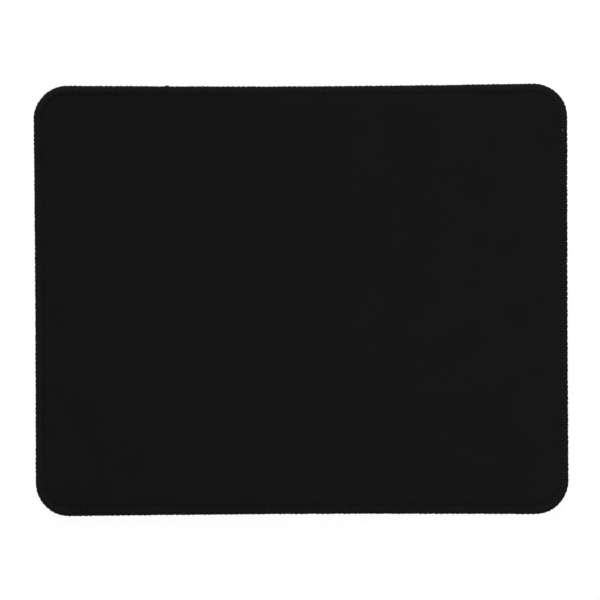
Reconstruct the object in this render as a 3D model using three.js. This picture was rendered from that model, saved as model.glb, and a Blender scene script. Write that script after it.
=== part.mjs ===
// Cloth mouse pad with an overlocked edge. Millimetres, +Z up, origin under the middle of the pad.
//
// A knitted cloth is bonded to a foamed rubber sheet by a film of hot-melt glue, and the three layers
// are cut to one outline. Three threads bind the cut edge: the needle thread runs along the seam, the
// upper looper thread goes from the seam over the face to the edge, and the lower looper thread does
// the same on the underside. Their pull squeezes the layers to a thin, rounded rim and draws the sides
// of the pad in a little.
import * as THREE from "three";

// Outline, measured over the stitching
const padLength = 260;
const padWidth = 210;
const cornerRadius = 16.5;

// How far the pull of the stitches draws in the middle of each side
const frontDrawIn = 0.55;
const rightDrawIn = 0.2;
const rearDrawIn = 0.8;
const leftDrawIn = 0.25;

// Layers, from the face down
const clothThickness = 0.5;
const filmThickness = 0.1;
const rubberThickness = 2.4;

// Overlock seam
const stitchPitch = 2.5; // along the edge, from one stitch to the next
const stitchBite = 3.6; // from the outer edge in to the end of the looper threads
const stitchLean = 0.8; // how far a stitch leans along the edge on its way in
const looperThread = 0.45; // thickness of a looper thread as it lies, pulled flat
const scallopDepth = 0.3; // how far the bound rim sinks between two stitches
const needleThread = 0.4;
const needleDip = 0.2; // how far the needle thread sinks at each needle hole
const beadRise = 0.1; // how far the bound rim stands above the cloth
const deskClearance = 0.1; // how far the bound rim stays above the desk
const seatClearance = 0.1; // between a thread and the layers under it

// Squeezed rim of the layers
const noseInset = 1.8; // from the outer edge in to where the rim starts to round off
const noseDrop = 0.25; // how far the rim falls from there to the cut edge
const swellRun = 1.5; // over which the layers swell back to full thickness, inside the seam

// Levels and insets that follow from these
const filmTop = rubberThickness + filmThickness;
const clothTop = filmTop + clothThickness;
const clothPinch = looperThread + seatClearance - beadRise;
const basePinch = looperThread + seatClearance + deskClearance;
const rimTop = clothTop - clothPinch;
const rimBottom = basePinch;
const lockHeight = (rimTop + rimBottom) / 2; // where the two looper threads lock at the edge
const cutInset = looperThread + seatClearance;
const needleInset = stitchBite + seatClearance;
const grooveInset = needleInset + needleThread + seatClearance;
const fieldInset = grooveInset + swellRun;

// Fineness of the faceted curves
const stationsPerSide = 4;
const stationsPerCorner = 6;
const swellSteps = 2;
const shoulderTurn = Math.PI / 3; // slope of the looper thread's shoulder, over the corner of the rim

// Colours
const clothBlack = 0x171717;
const rubberBlack = 0x1b1b1b;
const threadBlack = 0x1d1d1d;
const glueAmber = 0xcdbf9a;

// The outline is four sides and four corners, counter-clockwise from the left end of the front side.
// Each run has its length and gives, at a share of it, a point and the direction out of the pad there.
const straightLength = padLength - 2 * cornerRadius;
const straightWidth = padWidth - 2 * cornerRadius;

function sideRun(length, reach, drawIn, heading) {
  const along = new THREE.Vector2(Math.cos(heading), Math.sin(heading));
  const out = new THREE.Vector2(along.y, -along.x);
  const at = (share) => {
    const pulled = reach - drawIn * Math.sin(Math.PI * share);
    const point = out.clone().multiplyScalar(pulled).addScaledVector(along, (share - 0.5) * length);
    return { point, out };
  };
  return { length, at, steps: stationsPerSide };
}

function cornerRun(heading) {
  const middle = new THREE.Vector2(
    (Math.sign(Math.cos(heading - Math.PI / 4)) * straightLength) / 2,
    (Math.sign(Math.sin(heading - Math.PI / 4)) * straightWidth) / 2,
  );
  const at = (share) => {
    const angle = heading - (Math.PI / 2) * (1 - share);
    const out = new THREE.Vector2(Math.cos(angle), Math.sin(angle));
    return { point: middle.clone().addScaledVector(out, cornerRadius), out };
  };
  return { length: (cornerRadius * Math.PI) / 2, at, steps: stationsPerCorner };
}

const quarterTurn = Math.PI / 2;
const runs = [
  sideRun(straightLength, padWidth / 2, frontDrawIn, 0),
  cornerRun(0),
  sideRun(straightWidth, padLength / 2, rightDrawIn, quarterTurn),
  cornerRun(quarterTurn),
  sideRun(straightLength, padWidth / 2, rearDrawIn, 2 * quarterTurn),
  cornerRun(2 * quarterTurn),
  sideRun(straightWidth, padLength / 2, leftDrawIn, 3 * quarterTurn),
  cornerRun(3 * quarterTurn),
];
const perimeter = runs.reduce((sum, run) => sum + run.length, 0);
const stitchCount = Math.round(perimeter / stitchPitch);

function outlineAt(share) {
  let left = (share % 1) * perimeter;
  for (const run of runs) {
    if (left < run.length) return run.at(left / run.length);
    left -= run.length;
  }
  return runs[0].at(0);
}

// A ring is a closed line round the pad. Each of its points keeps its share of the way round, by which
// rings are joined.
function ringPoint(share, inset, height, lean = 0) {
  const { point, out } = outlineAt(share + lean / perimeter);
  const place = new THREE.Vector3(point.x - out.x * inset, point.y - out.y * inset, height);
  return { share, place };
}

const stations = [];
let passed = 0;
for (const run of runs) {
  for (let i = 0; i < run.steps; i++) {
    stations.push((passed + (run.length * i) / run.steps) / perimeter);
  }
  passed += run.length;
}

const plainRing = (inset, height) => stations.map((share) => ringPoint(share, inset, height));

// A ring with a point on each stitch and one between two stitches
function stitchRing(onStitch, between, lean = 0) {
  const ring = [];
  for (let k = 0; k < stitchCount; k++) {
    ring.push(ringPoint(k / stitchCount, onStitch.x, onStitch.y, lean));
    ring.push(ringPoint((k + 0.5) / stitchCount, between.x, between.y, lean));
  }
  return ring;
}

// A ring with a point on each stitch only
function tipRing(inset, height, lean) {
  const ring = [];
  for (let k = 0; k < stitchCount; k++) {
    ring.push(ringPoint(k / stitchCount, inset, height, lean));
  }
  return ring;
}

// Faces between two rings: whichever comes to its next point first moves on to it
function joinRings(a, b, faces) {
  const shareOf = (ring, n) => (n < ring.length ? ring[n].share : 1);
  const placeOf = (ring, n) => ring[n % ring.length].place;
  let i = 0;
  let j = 0;
  while (i < a.length || j < b.length) {
    const aMoves = j === b.length || (i < a.length && shareOf(a, i + 1) <= shareOf(b, j + 1));
    const next = aMoves ? placeOf(a, i + 1) : placeOf(b, j + 1);
    faces.push(placeOf(a, i), next, placeOf(b, j));
    if (aMoves) i += 1;
    else j += 1;
  }
}

// Flat face across a ring
function capRing(ring, facesUp, faces) {
  const contour = ring.map(({ place }) => new THREE.Vector2(place.x, place.y));
  for (const [a, b, c] of THREE.ShapeUtils.triangulateShape(contour, [])) {
    const order = facesUp ? [a, b, c] : [a, c, b];
    faces.push(...order.map((n) => ring[n].place));
  }
}

const solidOf = (faces) => new THREE.BufferGeometry().setFromPoints(faces);

// A layer's rings go from its upper field out to the cut edge and back along its underside
function layerSolid(rings) {
  const faces = [];
  for (let k = 1; k < rings.length; k++) joinRings(rings[k], rings[k - 1], faces);
  capRing(rings[0], true, faces);
  capRing(rings.at(-1), false, faces);
  return solidOf(faces);
}

// A thread's rings go round its section, outwards over the top and back underneath
function threadSolid(rings) {
  const faces = [];
  for (let k = 0; k < rings.length; k++) joinRings(rings[(k + 1) % rings.length], rings[k], faces);
  return solidOf(faces);
}

// Rings of one face of a layer, from the field out to the cut edge. pinch is how far the seam moves that
// face, and nose how much further it moves at the cut edge.
function faceRings(level, pinch, nose) {
  const rings = [];
  for (let i = 0; i <= swellSteps; i++) {
    const inset = THREE.MathUtils.lerp(fieldInset, grooveInset, i / swellSteps);
    rings.push(plainRing(inset, level + pinch * THREE.MathUtils.smoothstep(i / swellSteps, 0, 1)));
  }
  rings.push(plainRing(noseInset, level + pinch));
  rings.push(plainRing(cutInset, level + pinch + nose));
  return rings;
}

const clothFace = () => faceRings(clothTop, -clothPinch, -noseDrop);
const clothBack = () => faceRings(filmTop, -clothPinch, -noseDrop);
const rubberFace = () => faceRings(rubberThickness, -clothPinch, -noseDrop);
const underside = () => faceRings(0, basePinch, noseDrop);

// One looper thread, of even thickness, laid over the rim from the needle line to the edge. up is +1 for
// the upper one and -1 for the lower one.
function looperThreadSolid(rimLevel, up) {
  const seat = rimLevel + up * seatClearance;
  const lock = lockHeight + (up * seatClearance) / 2;
  const corner = new THREE.Vector2(looperThread, seat - up * noseDrop);
  const over = (inset, height, turn, lean = 0) => {
    const outward = new THREE.Vector2(-Math.cos(turn), up * Math.sin(turn));
    const base = new THREE.Vector2(inset, height);
    const onStitch = base.clone().addScaledVector(outward, looperThread);
    const between = base.clone().addScaledVector(outward, looperThread - scallopDepth);
    return stitchRing(onStitch, between, lean);
  };
  const rings = [
    tipRing(stitchBite, seat, stitchLean),
    over(noseInset, seat, Math.PI / 2, stitchLean / 2),
    over(corner.x, corner.y, shoulderTurn),
    over(looperThread, lock, 0),
    plainRing(looperThread, lock),
    plainRing(corner.x, corner.y),
    plainRing(noseInset, seat),
  ];
  return threadSolid(up > 0 ? rings : rings.reverse());
}

// The needle thread lies along the seam: its back rises on each stitch and dips at each needle hole
function needleThreadSolid() {
  const seat = rimTop + seatClearance;
  const middle = needleInset + needleThread / 2;
  const crown = new THREE.Vector2(middle, seat + needleThread);
  const dip = new THREE.Vector2(middle, seat + needleThread - needleDip);
  return threadSolid([
    plainRing(needleInset + needleThread, seat),
    stitchRing(crown, dip),
    plainRing(needleInset, seat),
  ]);
}

function piece(name, geometry, color, roughness) {
  const material = new THREE.MeshStandardMaterial({ color, roughness, metalness: 0 });
  const mesh = new THREE.Mesh(geometry, material);
  mesh.name = name;
  return mesh;
}

const mousePad = new THREE.Group();
mousePad.add(
  piece("rubber_base", layerSolid([...rubberFace(), ...underside().reverse()]), rubberBlack, 0.85),
  piece("bonding_film", layerSolid([...clothBack(), ...rubberFace().reverse()]), glueAmber, 0.5),
  piece("top_cloth", layerSolid([...clothFace(), ...clothBack().reverse()]), clothBlack, 0.95),
  piece("needle_thread", needleThreadSolid(), threadBlack, 0.8),
  piece("upper_looper_thread", looperThreadSolid(rimTop, 1), threadBlack, 0.8),
  piece("lower_looper_thread", looperThreadSolid(rimBottom, -1), threadBlack, 0.8),
);

export default mousePad;
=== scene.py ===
import math
import random

import bmesh
import bpy
import numpy
from mathutils import Euler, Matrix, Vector, noise


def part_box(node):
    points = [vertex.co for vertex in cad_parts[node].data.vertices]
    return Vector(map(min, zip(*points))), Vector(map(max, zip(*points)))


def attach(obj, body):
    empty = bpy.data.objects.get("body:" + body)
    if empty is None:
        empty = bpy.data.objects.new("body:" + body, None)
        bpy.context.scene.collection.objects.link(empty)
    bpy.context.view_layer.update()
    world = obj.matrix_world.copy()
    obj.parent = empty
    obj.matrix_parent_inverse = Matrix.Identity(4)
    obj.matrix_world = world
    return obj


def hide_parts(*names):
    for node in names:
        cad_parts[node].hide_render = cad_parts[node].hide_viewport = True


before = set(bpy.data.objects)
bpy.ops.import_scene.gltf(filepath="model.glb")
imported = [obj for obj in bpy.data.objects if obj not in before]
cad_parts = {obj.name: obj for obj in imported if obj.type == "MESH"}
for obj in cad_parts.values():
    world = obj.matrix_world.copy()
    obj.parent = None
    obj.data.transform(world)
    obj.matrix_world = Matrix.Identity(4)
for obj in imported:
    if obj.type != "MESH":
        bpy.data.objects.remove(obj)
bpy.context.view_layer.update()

mm = 0.001
print("frame loaded:", ", ".join(sorted(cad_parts)))


# outline of the pad over its stitching, counter-clockwise from the left end of the front side
edgeLow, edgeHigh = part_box("upper_looper_thread")
padOutline = dict(
    length=edgeHigh[0] - edgeLow[0],
    width=edgeHigh[1] - edgeLow[1],
    corner=16.5 * mm,
    pulledIn=dict(front=0.55 * mm, right=0.2 * mm, rear=0.8 * mm, left=0.25 * mm),  # middle of each side
)


def makeSides():
    corner = padOutline["corner"]
    sides = []
    start = 0
    for turn, (name, pull) in enumerate(padOutline["pulledIn"].items()):
        across, deep = ("length", "width") if turn % 2 == 0 else ("width", "length")
        heading = turn * math.pi / 2
        along = Vector((math.cos(heading), math.sin(heading)))
        run = padOutline[across] - 2 * corner
        sides.append(dict(name=name, pull=pull, run=run, start=start, reach=padOutline[deep] / 2,
                          along=along, out=Vector((along.y, -along.x))))
        start += run + corner * math.pi / 2
    return sides, start


padSides, padRound = makeSides()
sideOf = {side["name"]: side for side in padSides}


def pulledIn(side, past):  # how far the stitches draw the side in there
    return side["pull"] * math.sin(math.pi * past / side["run"])


def placeOn(way, inset):  # metres round the outline and in from it, to x and y
    corner = padOutline["corner"]
    way %= padRound
    side = [each for each in padSides if each["start"] <= way][-1]
    past = way - side["start"]
    if past < side["run"]:
        reach = side["reach"] - pulledIn(side, past) - inset
        return side["out"] * reach + side["along"] * (past - side["run"] / 2)
    turn = (past - side["run"]) / corner
    middle = side["out"] * (side["reach"] - corner) + side["along"] * (side["run"] / 2)
    return middle + (side["out"] * math.cos(turn) + side["along"] * math.sin(turn)) * (corner - inset)


def whereOn(x, y):  # the other way round; None in the middle of the pad
    corner = padOutline["corner"]
    spot = Vector((x, y))
    for side in padSides:
        past = spot.dot(side["along"]) + side["run"] / 2
        reached = spot.dot(side["out"]) - side["reach"] + corner
        if reached <= 0 or past < 0:
            continue
        if past <= side["run"]:
            return side["start"] + past, corner - pulledIn(side, past) - reached
        over = past - side["run"]
        turn = math.atan2(over, reached)
        return side["start"] + side["run"] + corner * turn, corner - math.hypot(over, reached)
    return None


seam = dict(
    pitch=dict(front=2.63 * mm, right=2.68 * mm, rear=2.48 * mm, left=2.22 * mm),  # the pad was fed unevenly
    holeAt=1.65 * mm,  # from a stitch's start at the edge on to its needle hole
    cutIn=0.55 * mm,  # cut edge of the layers
    noseIn=3.2 * mm,  # where the squeezed rim starts to round off
    noseDrop=0.42 * mm,
    grooveIn=3.9 * mm,  # inner foot of the squeezed rim
    swellRun=2.6 * mm,
    facePinch=0.2 * mm,
    basePinch=0.55 * mm,
    scallop=0.03 * mm,  # the cut edge is drawn in where each stitch starts
    pucker=0.06 * mm,  # dimple at each needle hole
    puckerIn=4.0 * mm,
    puckerRun=1.1 * mm,
    pullRun=24 * mm,  # the pull of the stitches changes slowly along the seam
    pullTilt=0.14,  # and tilts them by this much
    pointsPerStitch=4,
)


def feedPad():  # how many stitches are sewn up to each end of a side
    ways, counts = [0], [0]
    for turn, side in enumerate(padSides):
        pitch = seam["pitch"][side["name"]]
        after = seam["pitch"][padSides[(turn + 1) % len(padSides)]["name"]]
        for run, step in ((side["run"], pitch), (padOutline["corner"] * math.pi / 2, (pitch + after) / 2)):
            ways.append(ways[-1] + run)
            counts.append(counts[-1] + run / step)
    whole = round(counts[-1])
    return ways, [count * whole / counts[-1] for count in counts], whole


fedWays, fedCounts, stitchCount = feedPad()
stitchStep = padRound / stitchCount


def wayOf(stitch):  # metres round the outline where that stitch lies
    return float(numpy.interp(stitch % stitchCount, fedCounts, fedWays))


def stitchAt(way):  # the other way round
    return float(numpy.interp(way % padRound, fedWays, fedCounts))


rimMiddle = (edgeHigh[2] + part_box("lower_looper_thread")[0][2]) / 2
# millimetres in from the edge, where the section of the squeezed rim has points
rimInsets = [0.8, 1.2, 1.8, 2.6, 3.3, 3.7, 4.0, 4.3, 4.6, 4.9, 5.2, 5.5, 5.8, 6.2, 6.8]


def eased(share):  # from 0 to 1, with a soft start and end
    share = min(max(share, 0), 1)
    return share * share * (3 - 2 * share)


def squeeze(inset, pinch):  # how far the seam moves a face of the pad at that inset
    swell = eased((inset - seam["grooveIn"]) / seam["swellRun"])
    nose = min(max((seam["noseIn"] - inset) / (seam["noseIn"] - seam["cutIn"]), 0), 1)
    return pinch * (1 - swell) + seam["noseDrop"] * nose ** 2


def tilted(way, inset, height):  # a thread's height there, with the seam's pull
    pull = noise.noise(placeOn(way, 0).to_3d() / seam["pullRun"])
    return height + pull * seam["pullTilt"] * (inset - seam["grooveIn"] / 2) * (height / rimMiddle - 1)


def selectEdges(piece, test):
    mesh = bmesh.from_edit_mesh(piece.data)
    bpy.ops.mesh.select_mode(type="EDGE")
    bpy.ops.mesh.select_all(action="DESELECT")
    for edge in mesh.edges:
        edge.select = test(edge)
    mesh.select_flush_mode()
    bmesh.update_edit_mesh(piece.data)


def cutSheet(name, cutIn, height):  # one flat face cut to the pad's outline, left in edit mode
    corner = padOutline["corner"] - cutIn
    size = [padOutline[key] - 2 * cutIn for key in ("length", "width")]
    spacing = stitchStep / seam["pointsPerStitch"]
    bpy.ops.object.select_all(action="DESELECT")
    bpy.ops.mesh.primitive_plane_add(size=1, location=(0, 0, 0))
    piece = bpy.context.object
    piece.name = name
    bpy.ops.object.mode_set(mode="EDIT")
    bpy.ops.transform.resize(value=(*size, 1))
    bpy.ops.transform.translate(value=(0, 0, height))
    bpy.ops.mesh.bevel(offset=corner, segments=round(corner * math.pi / 2 / spacing), affect="VERTICES")
    bpy.ops.mesh.delete(type="ONLY_FACE")
    for axis in (0, 1):
        straight = size[axis] - 2 * corner
        coarse = 5  # a side is split in two goes, because one takes 100 cuts at most
        fine = round(straight / spacing / coarse)
        selectEdges(piece, lambda edge: abs((edge.verts[1].co - edge.verts[0].co)[axis]) > straight / 2)
        bpy.ops.mesh.subdivide(number_cuts=coarse - 1)
        bpy.ops.mesh.subdivide(number_cuts=fine - 1)
    mesh = bmesh.from_edit_mesh(piece.data)
    for vert in mesh.verts:  # as many to each stitch, and the stitches draw the sides in
        vert.co.xy = placeOn(wayOf(whereOn(*vert.co.xy)[0] / stitchStep), cutIn)
    bpy.ops.mesh.select_all(action="SELECT")
    bpy.ops.mesh.edge_face_add()
    return piece


def faceOutwards(piece, up):  # turns the one face that is selected
    mesh = bmesh.from_edit_mesh(piece.data)
    chosen = [face for face in mesh.faces if face.select]
    if chosen[0].normal.z * up < 0:
        bpy.ops.mesh.flip_normals()


def pressRim(cutIn, pinch, upTo=rimInsets[-1], fieldDepth=0):  # insets from the cut edge, each at its depth
    before = cutIn
    insets = [each * mm for each in rimInsets if cutIn < each * mm and each <= upTo]
    for inset in insets:
        rise = squeeze(before, pinch) - squeeze(inset, pinch)
        if inset == insets[-1]:
            rise += fieldDepth
        bpy.ops.mesh.inset(thickness=inset - before, depth=rise, use_even_offset=True)
        before = inset


def divideField(lines, turns):  # straight cuts across the face that is selected
    bpy.ops.mesh.hide(unselected=True)
    spacing = lines * mm
    reach = math.hypot(padOutline["length"], padOutline["width"]) / 2
    for turn in turns:
        normal = Vector((math.cos(turn), math.sin(turn), 0))
        count = math.floor(reach / spacing)
        for n in range(-count, count + 1):
            bpy.ops.mesh.select_all(action="SELECT")
            bpy.ops.mesh.bisect(plane_co=normal * (n + 0.5) * spacing, plane_no=normal, threshold=1e-7)


def drawStitches(piece, middle=0):  # puckers at the needle holes, and a scalloped cut edge
    for vert in piece.data.vertices:
        where = whereOn(*vert.co.xy)
        if not where or where[1] > rimInsets[-1] * mm:
            continue
        way, inset = where
        stitch = stitchAt(way)
        onStart = math.cos(2 * math.pi * stitch)
        onHole = 0.5 + 0.5 * math.cos(2 * math.pi * (stitch - seam["holeAt"] / stitchStep))
        near = eased(1 - abs(inset - seam["puckerIn"]) / seam["puckerRun"])
        edge = max((seam["noseIn"] - inset) / (seam["noseIn"] - seam["cutIn"]), 0)
        vert.co.xy = placeOn(way, inset + seam["scallop"] * onStart * edge)
        vert.co.z -= math.copysign(seam["pucker"], vert.co.z - middle) * onHole * near


def finishPiece(piece, node, material, smoothAngle=60):
    bpy.ops.object.mode_set(mode="OBJECT")
    bpy.ops.object.shade_smooth_by_angle(angle=math.radians(smoothAngle))
    piece.data.materials.clear()
    piece.data.materials.append(material)
    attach(piece, "root")
    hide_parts(node)
    print("made", piece.name, len(piece.data.polygons), "faces")


class Shade:  # a shader socket that Python can calculate with
    def __init__(self, tree, socket=None):
        self.tree = tree
        self.socket = socket

    def node(self, kind, settings=None, sockets=None, out=0):
        made = self.tree.nodes.new("ShaderNode" + kind)
        for key, value in (settings or {}).items():
            setattr(made, key, value)
        for key, value in (sockets or {}).items():
            if isinstance(value, Shade):
                self.tree.links.new(value.socket, made.inputs[key])
            else:
                made.inputs[key].default_value = value
        return Shade(self.tree, made.outputs[out] if made.outputs else None)

    def math(self, operation, first, second=0.0):
        return self.node("Math", {"operation": operation}, {0: first, 1: second})

    def __add__(self, other):
        return self.math("ADD", self, other)

    __radd__ = __add__

    def __sub__(self, other):
        return self.math("SUBTRACT", self, other)

    def __rsub__(self, other):
        return self.math("SUBTRACT", other, self)

    def __mul__(self, other):
        return self.math("MULTIPLY", self, other)

    __rmul__ = __mul__

    def sine(self):
        return self.math("SINE", self)

    def part(self):  # what is left of a number above its whole part
        return self.math("FRACT", self)

    def size(self):
        return self.math("ABSOLUTE", self)

    def noise(self, place, size, detail=2.0):  # size in millimetres
        return self.node("TexNoise", None, {"Vector": place, "Scale": 1 / size, "Detail": detail})

    def blend(self, dark, light):  # between two colours
        return self.node("Mix", {"data_type": "RGBA", "clamp_factor": True},
                         {0: self, 6: (*dark, 1), 7: (*light, 1)}, out=2)

    def bump(self, depth, strength):
        return self.node("Bump", None, {"Height": self, "Distance": depth, "Strength": strength})


def newMaterial(name, fixed):
    material = bpy.data.materials.new(name)
    material.use_nodes = True
    shader = material.node_tree.nodes["Principled BSDF"]
    for key, value in fixed.items():
        shader.inputs[key].default_value = value
    return material, Shade(material.node_tree), shader


def weighed(shades, base=0.0, **shares):  # a base level, and each shade by its share
    return sum((shades[name] * share for name, share in shares.items()), base)


def wireLook(shader, look, **shades):  # the tone runs from the look's dark colour to its light one
    feeds = {
        "Base Color": weighed(shades, **look["tone"]).blend(look["dark"], look["light"]),
        "Roughness": weighed(shades, **look["rough"]),
        "Normal": weighed(shades, **look["relief"]).bump(look["depth"], look["strength"]),
    }
    for name, shade in feeds.items():
        shade.tree.links.new(shade.socket, shader.inputs[name])


def grey(level):
    return (level, level, level)


def objectMm(shade):  # Object coordinates in millimetres
    place = shade.node("TexCoord", out="Object")
    return shade.node("VectorMath", {"operation": "SCALE"}, {0: place, "Scale": 1 / mm})


# plain sizes in the looks are in millimetres, and those times mm are in metres
clothLook = dict(
    dark=grey(0.004),
    light=grey(0.008),
    wale=0.36,  # width of a column of loops
    course=0.3,  # height of a loop
    rise=0.5,  # of a loop's legs, in courses
    groove=0.6,  # how much of the relief is gone between two columns, and how much the colour darkens there as painted shade
    wanderSize=3.0,  # the columns aren't quite straight
    wanderAcross=0.15,
    wanderUp=0.1,
    cloudSize=22.0,
    fibreSize=0.12,
    # the loop share darkens the colour in the knit's grooves and lightens the loops' tops, which is painted
    # shade; cloud and fibre are the cloth's own uneven tone
    tone=dict(base=0.28, loop=0.6, cloud=0.25, fibre=0.4),
    rough=dict(base=0.92, loop=-0.06, fibre=0.1),
    relief=dict(loop=1.0, fibre=0.3),
    depth=0.03 * mm,
    strength=0.7,
    fixed={"Specular IOR Level": 0.02, "Sheen Weight": 0.005},
)


def knittedCloth():  # columns of small V loops, with painted shade in the knit's grooves
    material, shade, shader = newMaterial("knittedCloth", clothLook["fixed"])
    place = objectMm(shade)
    wander = shade.noise(place, clothLook["wanderSize"]) - 0.5
    across = shade.node("SeparateXYZ", None, {0: place}, out="X") + wander * clothLook["wanderAcross"]
    up = shade.node("SeparateXYZ", None, {0: place}, out="Y") + wander * clothLook["wanderUp"]
    side = ((across * (1 / clothLook["wale"])).part() - 0.5).size() * 2
    rows = up * (1 / clothLook["course"]) + side * clothLook["rise"]
    leg = (rows * (2 * math.pi)).sine() * 0.5 + 0.5
    # the loop shade below is both the knit's relief and painted shade in its grooves
    wireLook(shader, clothLook,
             loop=leg * (1 - side * side * clothLook["groove"]),
             cloud=shade.noise(place, clothLook["cloudSize"], detail=4.0) - 0.5,
             fibre=shade.noise(place, clothLook["fibreSize"], detail=3.0) - 0.5)
    return material


rubberLook = dict(
    dark=grey(0.0045),
    light=grey(0.0095),
    grainSize=0.4,
    cloudSize=18.0,
    tone=dict(grain=1.0, cloud=0.5),
    rough=dict(base=0.72, grain=0.2),
    relief=dict(grain=1.0),
    depth=0.03 * mm,
    strength=0.5,
    fixed={"Specular IOR Level": 0.1},
)


def foamedRubber():
    material, shade, shader = newMaterial("foamedRubber", rubberLook["fixed"])
    place = objectMm(shade)
    wireLook(shader, rubberLook,
             grain=shade.noise(place, rubberLook["grainSize"], detail=4.0),
             cloud=shade.noise(place, rubberLook["cloudSize"], detail=3.0) - 0.5)
    return material


threadLook = dict(
    dark=grey(0.0046),
    light=grey(0.0089),
    plies=2,
    twist=1.7 * mm,  # along the thread, from one ply to the next
    streak=1.4 * mm,  # length of a filament's streak
    filaments=8,  # streaks across a ply
    fuzzSize=0.2,
    # the ply share lightens each ply's middle and darkens where the plies meet, which is painted shade;
    # strand and fuzz are the thread's own uneven tone
    tone=dict(base=-0.1, strand=0.8, ply=0.35, fuzz=0.4),
    rough=dict(base=0.8, strand=-0.1, fuzz=0.15),
    relief=dict(ply=0.7, strand=0.8, fuzz=0.3),
    depth=0.08 * mm,
    strength=0.8,
    fixed={"Specular IOR Level": 0.025, "Sheen Weight": 0.005},
)


def sewingThread(name, length):  # twisted plies of fine filaments, with painted shade where the plies meet
    material, shade, shader = newMaterial(name, threadLook["fixed"])
    onThread = shade.node("UVMap")
    along = shade.node("SeparateXYZ", None, {0: onThread}, out="X") * length
    around = shade.node("SeparateXYZ", None, {0: onThread}, out="Y") * threadLook["plies"]
    turns = along * (1 / threadLook["twist"]) + around
    across = turns.part() * 2 - 1
    streaks = along * (1 / threadLook["streak"])
    lay = shade.node("CombineXYZ", None, {0: streaks, 1: turns * threadLook["filaments"]})
    # the ply shade is both the plies' relief and painted shade in the colour
    wireLook(shader, threadLook,
             strand=shade.noise(lay, size=1.0, detail=3.0),
             ply=1 - across * across,
             fuzz=shade.noise(objectMm(shade), threadLook["fuzzSize"], detail=3.0) - 0.5)
    return material


meltedLook = dict(
    dark=grey(0.012),
    light=grey(0.03),
    skinSize=0.5,
    tone=dict(skin=1.0),
    rough=dict(base=0.22, skin=0.2),
    relief=dict(skin=1.0),
    depth=0.03 * mm,
    strength=1.0,
    fixed={"IOR": 1.53},
)


def meltedThread():  # glossy where the ends were melted
    material, shade, shader = newMaterial("meltedThread", meltedLook["fixed"])
    wireLook(shader, meltedLook, skin=shade.noise(objectMm(shade), meltedLook["skinSize"]))
    return material


glueLook = dict(
    dark=(0.52, 0.44, 0.26),
    light=(0.66, 0.6, 0.42),
    webSize=1.5,
    tone=dict(web=1.0),
    rough=dict(base=0.35, web=0.3),
    relief=dict(web=1.0),
    depth=0.02 * mm,
    strength=1.0,
    fixed={"IOR": 1.48},
)


def hotMeltGlue():
    material, shade, shader = newMaterial("hotMeltGlue", glueLook["fixed"])
    wireLook(shader, glueLook, web=shade.noise(objectMm(shade), glueLook["webSize"], detail=3.0))
    return material


# cells is the spacing of the field's cuts in millimetres
clothFace = dict(height=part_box("top_cloth")[1][2], cutIn=seam["cutIn"], thickness=0.5 * mm, cells=13.0)
glueFilm = dict(height=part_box("bonding_film")[1][2], cutIn=1.1 * mm, thickness=0.1 * mm, cells=26.0)


def makeLayer(name, layer):  # the cloth, or the film of glue under it
    piece = cutSheet(name, layer["cutIn"], layer["height"] - squeeze(layer["cutIn"], seam["facePinch"]))
    faceOutwards(piece, 1)
    bpy.ops.mesh.select_mode(type="FACE")
    pressRim(layer["cutIn"], seam["facePinch"])
    divideField(layer["cells"], (0, math.pi / 2))
    bpy.ops.mesh.reveal(select=False)
    bpy.ops.object.mode_set(mode="OBJECT")
    drawStitches(piece)
    wall = piece.modifiers.new("thickness", "SOLIDIFY")
    wall.thickness = layer["thickness"]
    wall.offset = -1
    bpy.ops.object.modifier_apply(modifier=wall.name)
    return piece


def makeCloth():
    piece = makeLayer("cloth_face", clothFace)
    finishPiece(piece, "top_cloth", knittedCloth())


def makeFilm():
    piece = makeLayer("glue_film", glueFilm)
    finishPiece(piece, "bonding_film", hotMeltGlue())


rubberSheet = dict(
    top=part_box("rubber_base")[1][2],
    studsFrom=4.0,  # inset of the outermost ones, close to the seam
    studPitch=2.6,  # both in millimetres
    studInset=0.3 * mm,
    studHeight=0.2 * mm,
    leastStud=0.5,  # share of a diamond that the seam has to leave for a stud
    leastAngle=40.0,  # of such a stud's corners
    join=0.15 * mm,  # points that lie closer are merged
    smoothAngle=30.0,
)


def swellUnderside(piece):  # the studded field, flat so far, swells back to full thickness inside the seam
    mesh = bmesh.from_edit_mesh(piece.data)
    start = rubberSheet["studsFrom"] * mm
    for vert in mesh.verts:
        where = whereOn(*vert.co.xy)
        inset = where[1] if where else padOutline["corner"]
        if inset > start:
            vert.co.z -= squeeze(start, seam["basePinch"]) - squeeze(inset, seam["basePinch"])
    bmesh.update_edit_mesh(piece.data)


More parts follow.
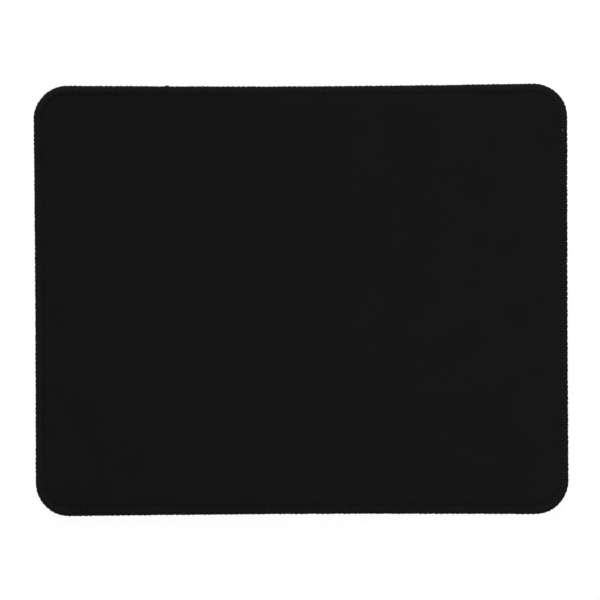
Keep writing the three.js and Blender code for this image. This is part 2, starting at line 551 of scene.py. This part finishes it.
def makeRubber():
    low = squeeze(seam["cutIn"], seam["basePinch"])
    high = rubberSheet["top"] - squeeze(seam["cutIn"], seam["facePinch"])
    piece = cutSheet("rubber_sheet", seam["cutIn"], low)
    faceOutwards(piece, -1)
    bpy.ops.mesh.select_mode(type="FACE")
    pressRim(seam["cutIn"], seam["basePinch"], rubberSheet["studsFrom"], -rubberSheet["studHeight"])
    divideField(rubberSheet["studPitch"], (math.pi / 4, -math.pi / 4))
    bpy.ops.mesh.select_all(action="SELECT")
    bpy.ops.mesh.remove_doubles(threshold=rubberSheet["join"])
    bpy.ops.mesh.select_all(action="DESELECT")
    mesh = bmesh.from_edit_mesh(piece.data)
    leastArea = rubberSheet["leastStud"] * (rubberSheet["studPitch"] * mm) ** 2
    leastAngle = math.radians(rubberSheet["leastAngle"])
    for face in mesh.faces:
        blunt = min(loop.calc_angle() for loop in face.loops) > leastAngle
        face.select = not face.hide and blunt and face.calc_area() > leastArea
    mesh.select_flush_mode()
    bmesh.update_edit_mesh(piece.data)
    bpy.ops.mesh.inset(use_individual=True,
                       thickness=rubberSheet["studInset"], depth=rubberSheet["studHeight"])
    bpy.ops.mesh.reveal(select=False)
    swellUnderside(piece)
    selectEdges(piece, lambda edge: edge.is_boundary)
    bpy.ops.mesh.extrude_region_move(TRANSFORM_OT_translate={"value": (0, 0, high - low)})
    bpy.ops.mesh.edge_face_add()
    bpy.ops.mesh.select_mode(type="FACE")
    faceOutwards(piece, 1)
    pressRim(seam["cutIn"], seam["facePinch"])
    bpy.ops.object.mode_set(mode="OBJECT")
    drawStitches(piece, (low + high) / 2)
    finishPiece(piece, "rubber_base", foamedRubber(), rubberSheet["smoothAngle"])


# one stitch of each thread: along, inset and height of its middle line in millimetres, and its fullness
upperLooper = dict(
    node="upper_looper_thread",
    thick=0.4 * mm,
    spread=2.8,  # the loose yarn lies flat and wide, so it covers the rim
    seed=11,
    stitch=[
        (0.0, 0.2, 1.45, 0.9),  # start at the edge
        (0.45, 0.22, 1.85, 1.05),
        (0.5, 0.5, 2.41, 1.05),
        (0.7, 1.5, 2.73, 1.1),  # over the rim
        (1.15, 2.9, 2.86, 1.0),
        (1.65, 3.62, 2.81, 0.75),  # end, under the needle thread
        (2.12, 2.9, 2.86, 1.0),
        (2.05, 1.5, 2.73, 1.1),  # and back
        (2.02, 0.5, 2.41, 1.05),
        (2.05, 0.22, 1.85, 1.05),
    ],
)
lowerLooper = dict(
    node="lower_looper_thread",
    thick=0.4 * mm,
    spread=2.8,
    seed=12,
    stitch=[
        (1.25, 0.4, 1.6, 0.85),  # at the edge, between the upper thread's legs
        (1.7, 0.28, 1.22, 1.0),
        (1.72, 0.5, 0.79, 1.05),
        (1.52, 1.5, 0.47, 1.1),  # under the rim
        (1.3, 2.9, 0.34, 1.0),
        (1.65, 3.62, 0.42, 0.7),  # end, in the needle thread's loop
        (2.27, 2.9, 0.34, 1.0),
        (2.85, 1.5, 0.47, 1.1),  # and back
        (3.2, 0.5, 0.79, 1.05),
        (3.28, 0.28, 1.22, 1.0),
    ],
)
needleSeam = dict(
    node="needle_thread",
    thick=0.36 * mm,
    spread=1.0,
    seed=13,
    stitch=[
        (0.4, 3.9, 2.83, 1.0),
        (1.5, 3.95, 2.68, 0.9),  # down through the needle hole
        (1.56, 3.98, 1.6, 0.7),
        (1.53, 3.93, 0.4, 0.75),
        (1.65, 3.4, 0.3, 0.75),  # round the lower looper thread
        (1.77, 3.93, 0.4, 0.75),
        (1.74, 3.98, 1.6, 0.7),
        (1.8, 3.95, 2.68, 0.9),
    ],
)
stitchShake = dict(along=0.17 * mm, inset=0.09 * mm, height=0.03 * mm)  # no two stitches are quite alike
looseLoop = dict(toLeft=64.9 * mm, run=1.5 * mm, out=0.45 * mm)  # on the rear side, left of its middle
sectionSides = 8
stepsPerPoint = 3


def looseOut(way, inset):  # how far the loose loop stands out there, less and less towards the seam
    side = sideOf["rear"]
    off = abs(way - side["start"] - side["run"] / 2 - looseLoop["toLeft"])
    return looseLoop["out"] * max(1 - off / looseLoop["run"], 0) * max(1 - inset / seam["noseIn"], 0)


def sewThread(name, thread):
    curve = bpy.data.curves.new(name, "CURVE")
    curve.dimensions = "3D"
    curve.bevel_depth = thread["thick"] / 2
    curve.bevel_resolution = sectionSides // 2 - 2
    stitch = thread["stitch"]
    path = curve.splines.new("BEZIER")
    path.bezier_points.add(len(stitch) * stitchCount - 1)
    path.use_cyclic_u = True
    path.resolution_u = stepsPerPoint
    chance = random.Random(thread["seed"])
    points = iter(path.bezier_points)
    for n in range(stitchCount):
        shake = {key: chance.uniform(-most, most) for key, most in stitchShake.items()}
        for along, inset, height, full in stitch:
            point = next(points)
            way = wayOf(n + along * mm / stitchStep) + shake["along"]
            point.co.xy = placeOn(way, inset * mm + shake["inset"] - looseOut(way, inset * mm))
            point.co.z = tilted(way, inset * mm, height * mm) + shake["height"]
            point.radius = full
            point.handle_left_type = point.handle_right_type = "AUTO"
    length = path.calc_length()
    piece = bpy.data.objects.new(name, curve)
    bpy.context.collection.objects.link(piece)
    bpy.ops.object.select_all(action="DESELECT")
    piece.select_set(True)
    bpy.context.view_layer.objects.active = piece
    bpy.ops.object.convert(target="MESH")
    piece = bpy.context.object
    spreadYarn(piece, thread["spread"])
    print(name, "is", round(length, 2), "m of thread")
    finishPiece(piece, thread["node"], sewingThread(name + "Look", length))


def spreadYarn(piece, spread):  # widens the yarn along the pad's edge, where it runs across it
    nearby = 0.1 * mm
    verts = piece.data.vertices
    sections = [verts[first:first + sectionSides] for first in range(0, len(verts), sectionSides)]
    middles = [sum((vert.co for vert in section), Vector()) / sectionSides for section in sections]
    for n, section in enumerate(sections):
        way = whereOn(*middles[n].xy)[0]
        along = (placeOn(way + nearby, 0) - placeOn(way - nearby, 0)).normalized().to_3d()
        heading = (middles[(n + 1) % len(middles)] - middles[n - 1]).normalized()
        wider = (spread - 1) * (1 - heading.dot(along) ** 2)
        for vert in section:
            vert.co += along * (vert.co - middles[n]).dot(along) * wider


sealedEnd = dict(
    rear=22.85 * mm,  # from the rear side
    inset=2.5 * mm,
    height=3.0 * mm,
    size=(0.3, 0.55, 0.22),  # half sizes of the bead, in millimetres
    turn=30.0,
    taper=0.4,  # share of its width that it loses towards the thread
    tailRun=0.375 * mm,
    tailDrop=0.75 * mm,  # the thread goes down between two stitches
    lump=0.07 * mm,
    lumpSize=0.45 * mm,
)


def makeSealedEnd():  # where the threads were cut off and melted, on the right side near the rear corner
    side = sideOf["right"]
    way = side["start"] + side["run"] + padOutline["corner"] - sealedEnd["rear"]
    x, y = placeOn(way, sealedEnd["inset"])
    turn = math.radians(sealedEnd["turn"])
    bpy.ops.object.select_all(action="DESELECT")
    bpy.ops.mesh.primitive_uv_sphere_add(segments=16, ring_count=10, radius=mm, location=(0, 0, 0))
    piece = bpy.context.object
    piece.name = "sealed_thread_end"
    bpy.ops.object.mode_set(mode="EDIT")
    bpy.ops.transform.resize(value=sealedEnd["size"])
    mesh = bmesh.from_edit_mesh(piece.data)
    mesh.normal_update()
    for vert in mesh.verts:  # a lumpy bead that thins out to the thread
        back = max(vert.co.y / (sealedEnd["size"][1] * mm), 0)
        vert.co += vert.normal * noise.noise(vert.co / sealedEnd["lumpSize"]) * sealedEnd["lump"]
        vert.co.x *= 1 - sealedEnd["taper"] * back
        vert.co.y += sealedEnd["tailRun"] * back ** 2
        vert.co.z -= sealedEnd["tailDrop"] * back ** 2
    bpy.ops.transform.rotate(value=turn, orient_axis="Z", center_override=(0, 0, 0))
    bpy.ops.transform.translate(value=(x, y, sealedEnd["height"]))
    bpy.ops.object.mode_set(mode="OBJECT")
    bpy.ops.object.shade_smooth()
    piece.data.materials.append(meltedThread())
    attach(piece, "root")
    print("made", piece.name, len(piece.data.polygons), "faces")


makeCloth()
makeFilm()
makeRubber()
sewThread("upper_looper_stitches", upperLooper)
sewThread("lower_looper_stitches", lowerLooper)
sewThread("needle_stitches", needleSeam)
makeSealedEnd()


studio = dict(
    floorSize=40.0,
    floorColour=0.95,
    floorGlow=0.95,  # share of the floor that camera rays see as plain white
    skyLight=0.08,
    keyLamp=dict(place=(-1.0, 4.6, 1.7), aim=(0, 0, 0), size=3.0, power=475.0),
    fillLamp=dict(place=(0.4, -4.6, 2.0), aim=(0, 0, 0), size=3.0, power=150.0),
    topLamp=dict(place=(0.3, 0, 0.6), aim=(0.3, 0, 0), size=0.3, power=1.6),
)


def seenDirectly(shade):  # camera, mirror and glass rays
    kinds = ("Is Camera Ray", "Is Glossy Ray", "Is Transmission Ray")
    camera, mirror, glass = [shade.node("LightPath", out=kind) for kind in kinds]
    return shade.math("MAXIMUM", camera, shade.math("MAXIMUM", mirror, glass))


def makeFloor():
    bpy.ops.object.select_all(action="DESELECT")
    bpy.ops.mesh.primitive_plane_add(size=studio["floorSize"], location=(0, 0, 0))
    floor = bpy.context.object
    floor.name = "floor"
    material = bpy.data.materials.new("paleFloor")
    material.use_nodes = True
    tree = material.node_tree
    tree.nodes.clear()
    shade = Shade(tree)
    matte = shade.node("BsdfDiffuse", None, {"Color": (*[studio["floorColour"]] * 3, 1)})
    glow = shade.node("Emission", None, {"Color": (1, 1, 1, 1), "Strength": 1.0})
    seen = seenDirectly(shade) * studio["floorGlow"]
    mixed = shade.node("MixShader", None, {0: seen, 1: matte, 2: glow})
    shade.node("OutputMaterial", None, {"Surface": mixed})
    floor.data.materials.append(material)


def makeSky():
    world = bpy.data.worlds.new("studioSky")
    bpy.context.scene.world = world
    world.use_nodes = True
    tree = world.node_tree
    tree.nodes.clear()
    shade = Shade(tree)
    seen = seenDirectly(shade)
    lit = shade.node("Background", None, {"Color": (1, 1, 1, 1), "Strength": studio["skyLight"]})
    white = shade.node("Background", None, {"Color": (1, 1, 1, 1), "Strength": 1.0})
    mixed = shade.node("MixShader", None, {0: seen, 1: lit, 2: white})
    shade.node("OutputWorld", None, {"Surface": mixed})


def makeLamp(name):
    lamp = studio[name]
    bpy.ops.object.light_add(type="AREA", location=lamp["place"])
    made = bpy.context.object
    made.name = name
    made.data.size = lamp["size"]
    made.data.energy = lamp["power"]
    made.rotation_euler = (Vector(lamp["place"]) - Vector(lamp["aim"])).to_track_quat("Z", "Y").to_euler()


photo = dict(
    pixels=600,
    padLeft=34.55,  # pixel columns and rows of the pad's edges
    padRight=568.05,
    padTop=84.5,
    padBottom=515.75,
    roll=math.radians(0.26),  # the pad lies turned by this much in the picture
    tilt=math.radians(0.8),  # the camera leans over the rear side
    distance=1.5,
    sensor=36.0,  # width in millimetres
)


def makeCamera():
    pixel = padOutline["length"] / (photo["padRight"] - photo["padLeft"])
    middle = photo["pixels"] / 2
    offX = (middle - (photo["padLeft"] + photo["padRight"]) / 2) * pixel
    offY = ((photo["padTop"] + photo["padBottom"]) / 2 - middle) * pixel
    turn = Euler((-photo["tilt"], 0, -photo["roll"]))
    place = Vector((offX, offY, rimMiddle)) + turn.to_matrix() @ Vector((0, 0, photo["distance"]))
    bpy.ops.object.camera_add(location=place, rotation=turn)
    camera = bpy.context.object
    camera.data.sensor_width = photo["sensor"]
    camera.data.lens = photo["sensor"] * photo["distance"] / (photo["pixels"] * pixel)
    bpy.context.scene.camera = camera


makeFloor()
makeSky()
makeLamp("keyLamp")
makeLamp("fillLamp")
makeLamp("topLamp")
makeCamera()
bpy.context.scene.view_settings.view_transform = "Standard"
print("studio ready")
